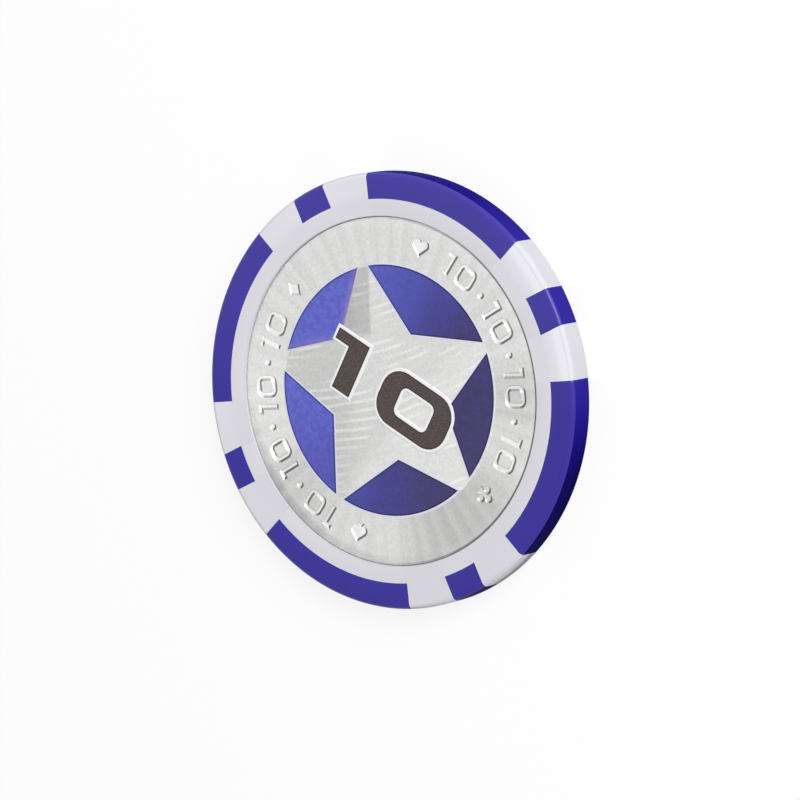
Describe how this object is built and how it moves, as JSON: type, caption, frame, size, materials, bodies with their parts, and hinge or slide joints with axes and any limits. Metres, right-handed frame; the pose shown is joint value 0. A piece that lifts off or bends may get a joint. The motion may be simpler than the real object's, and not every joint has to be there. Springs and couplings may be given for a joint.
{
  "type": "ball marker",
  "caption": "Weighted round ball marker in the form of a casino chip: white disc with blue edge blocks and a foil label with a star and a plain numeral on each face.",
  "frame": {"origin": "centre of the chip on the plane that it rests on, the back face ring", "axes": "+Z along the chip's axis, out of the front face; +X to the right of the front label's star, +Y up on it"},
  "size_m": [0.039, 0.039, 0.0028],
  "materials": {
    "core_steel": "plain stamped steel, sealed inside the plastic",
    "white_plastic": "moulded, cool white, softly glossy",
    "blue_plastic": "moulded, royal blue, softly glossy",
    "adhesive": "clear pressure-sensitive glue",
    "label_foil": "silver foil film with a fine grain",
    "blue_lacquer": "blue metallic print over the foil",
    "white_ink": "opaque white print",
    "dark_ink": "dark brown-black print"
  },
  "bodies": {
    "root": {"steel_core": "core_steel", "white_body": "white_plastic", "long_block_1": "blue_plastic", "long_block_2": "blue_plastic", "long_block_3": "blue_plastic", "long_block_4": "blue_plastic", "short_block_1": "blue_plastic", "short_block_2": "blue_plastic", "short_block_3": "blue_plastic", "short_block_4": "blue_plastic", "front_adhesive": "adhesive", "front_label": "label_foil", "front_star_panels": "blue_lacquer", "front_number_border": "white_ink", "front_number": "dark_ink", "back_adhesive": "adhesive", "back_label": "label_foil", "back_star_panels": "blue_lacquer", "back_number_border": "white_ink", "back_number": "dark_ink"}
  },
  "joints": []
}
